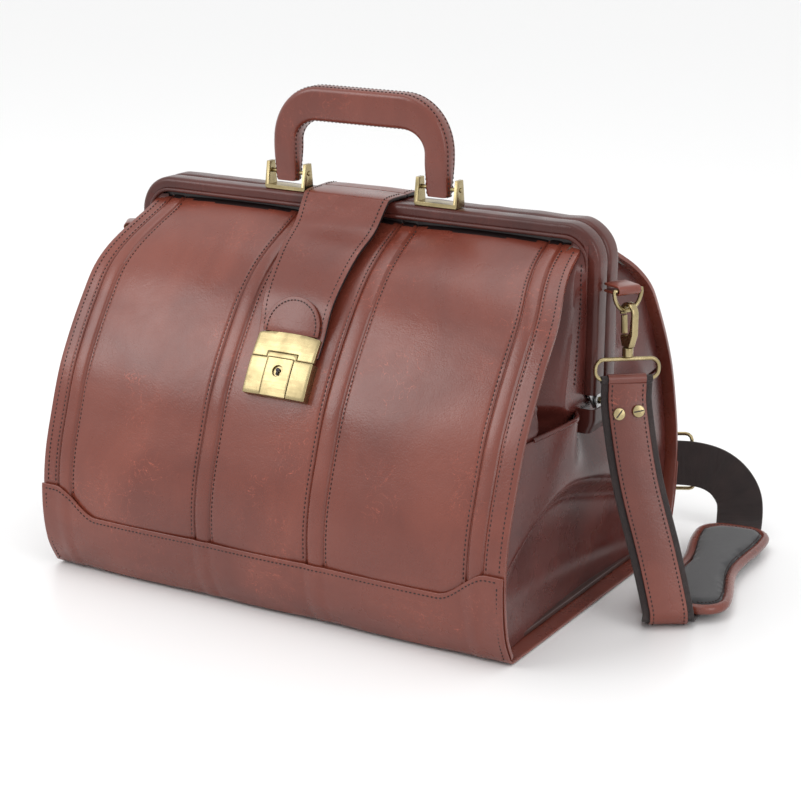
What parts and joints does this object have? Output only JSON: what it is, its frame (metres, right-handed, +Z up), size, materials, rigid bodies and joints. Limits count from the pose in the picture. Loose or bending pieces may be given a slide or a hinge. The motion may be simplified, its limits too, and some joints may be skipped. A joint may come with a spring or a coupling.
{
  "type": "doctor bag",
  "caption": "Leather doctor bag with a hinged framed mouth, folding top handle, closure flap with hasp lock and a clip-on shoulder strap with pad.",
  "frame": {"origin": "middle of the base on the floor, without the strap", "axes": "+Z up, +X along the mouth to the side where the strap and pad lie, the lock faces -Y"},
  "size_m": [0.5457, 0.3717, 0.372],
  "materials": {
    "leather": "glossy chestnut, waxed and creased",
    "dark_leather": "smooth dark brown",
    "antique_brass": "antique satin",
    "steel": "plain satin",
    "webbing": "tight matt weave",
    "felt": "matt felt",
    "board": "covered fibre board",
    "lining": "plain cotton lining"
  },
  "bodies": {
    "bag_body": {"base_wrap": "leather", "front_panel": "leather", "back_panel_lower": "leather", "gusset_right_lower": "leather", "gusset_right_front": "leather", "gusset_left_lower": "leather", "gusset_left_front": "leather", "front_jaw_cover": "leather", "ring_tab_right": "leather", "ring_tab_left": "leather", "strap_leather_front": "leather", "strap_leather_rear": "dark_leather", "hinge_pin_right": "antique_brass", "hinge_pin_left": "antique_brass", "handle_post_right": "antique_brass", "handle_post_left": "antique_brass", "lock_case": "antique_brass", "swivel_loop_right": "antique_brass", "swivel_loop_left": "antique_brass", "swivel_barrel_right": "antique_brass", "swivel_barrel_left": "antique_brass", "strap_screw_1": "antique_brass", "strap_screw_2": "antique_brass", "strap_screw_3": "antique_brass", "strap_screw_4": "antique_brass", "buckle_frame": "antique_brass", "front_jaw_frame": "steel", "hinge_plate_front_right": "steel", "hinge_plate_front_left": "steel", "lock_back_plate": "steel", "shoulder_strap": "webbing", "shoulder_pad": "felt", "base_board": "board", "inner_pocket": "lining"},
    "back_jaw": {"back_jaw_cover": "leather", "back_jaw_frame": "steel", "hinge_plate_back_right": "steel", "hinge_plate_back_left": "steel", "back_panel_upper": "leather", "gusset_right_back": "leather", "gusset_left_back": "leather", "closure_flap_anchor": "leather"},
    "closure_flap": {"closure_flap": "leather", "hasp_plate": "antique_brass", "flap_tab": "leather"},
    "handle": {"handle_grip": "leather", "handle_core": "steel", "handle_pin_right": "antique_brass", "handle_pin_left": "antique_brass"},
    "lock_slide": {"lock_slide": "antique_brass"},
    "lock_cylinder": {"lock_cylinder": "antique_brass"},
    "d_ring_right": {"d_ring_right": "antique_brass"},
    "snap_hook_right": {"snap_hook_right": "antique_brass"},
    "hook_gate_right": {"hook_gate_right": "antique_brass"},
    "d_ring_left": {"d_ring_left": "antique_brass"},
    "snap_hook_left": {"snap_hook_left": "antique_brass"},
    "hook_gate_left": {"hook_gate_left": "antique_brass"},
    "buckle_prong": {"buckle_prong": "antique_brass"}
  },
  "joints": [
    {"name": "back_jaw_open", "type": "hinge", "parent": "bag_body", "child": "back_jaw", "pos_m": [0, 0.004, 0.158], "axis": [-1, 0, 0], "range_deg": [0, 52], "deforming": ["back_panel_upper", "gusset_right_back", "gusset_left_back", "closure_flap_anchor"]},
    {"name": "closure_flap_lift", "type": "hinge", "parent": "back_jaw", "child": "closure_flap", "pos_m": [0, 0.008, 0.2903], "axis": [-1, 0, 0], "range_deg": [0, 13], "deforming": ["closure_flap"]},
    {"name": "handle_fold", "type": "hinge", "parent": "bag_body", "child": "handle", "pos_m": [0, -0.00525, 0.3035], "axis": [1, 0, 0], "range_deg": [-75, 65]},
    {"name": "lock_slide_down", "type": "slide", "parent": "bag_body", "child": "lock_slide", "axis": [0, -0.5122, -0.8589], "range_m": [0, 0.004], "stiffness_N_per_m": 300},
    {"name": "lock_cylinder_turn", "type": "hinge", "parent": "lock_slide", "child": "lock_cylinder", "pos_m": [0, -0.11609, 0.17692], "axis": [0, -0.8589, 0.5122], "range_deg": [0, 90]},
    {"name": "d_ring_right_swing", "type": "hinge", "parent": "bag_body", "child": "d_ring_right", "pos_m": [0.2205, -0.006, 0.2455], "axis": [0.5, 0.866, 0], "range_deg": [-8, 0]},
    {"name": "snap_hook_right_turn", "type": "hinge", "parent": "bag_body", "child": "snap_hook_right", "pos_m": [0.22267, -0.00725, 0.2455], "axis": [0, 0, 1], "range_deg": [-6, 6]},
    {"name": "hook_gate_right_press", "type": "hinge", "parent": "snap_hook_right", "child": "hook_gate_right", "pos_m": [0.21843, -0.0048, 0.2133], "axis": [0.5, 0.866, 0], "range_deg": [0, 20], "stiffness_Nm_per_rad": 0.02},
    {"name": "d_ring_left_swing", "type": "hinge", "parent": "bag_body", "child": "d_ring_left", "pos_m": [-0.2205, -0.006, 0.2455], "axis": [-0.5, 0.866, 0], "range_deg": [0, 8]},
    {"name": "snap_hook_left_turn", "type": "hinge", "parent": "bag_body", "child": "snap_hook_left", "pos_m": [-0.22267, -0.00725, 0.2455], "axis": [0, 0, 1], "range_deg": [-6, 6]},
    {"name": "hook_gate_left_press", "type": "hinge", "parent": "snap_hook_left", "child": "hook_gate_left", "pos_m": [-0.21843, -0.0048, 0.2133], "axis": [-0.5, 0.866, 0], "range_deg": [-20, 0], "stiffness_Nm_per_rad": 0.02},
    {"name": "buckle_prong_lift", "type": "hinge", "parent": "bag_body", "child": "buckle_prong", "pos_m": [0.19111, 0.21849, 0.05186], "axis": [0.1144, -0.0117, -0.9934], "range_deg": [0, 80]}
  ],
  "couplings": [
    {"joint": "closure_flap_lift", "follows": "back_jaw_open", "ratio": 0.25}
  ]
}
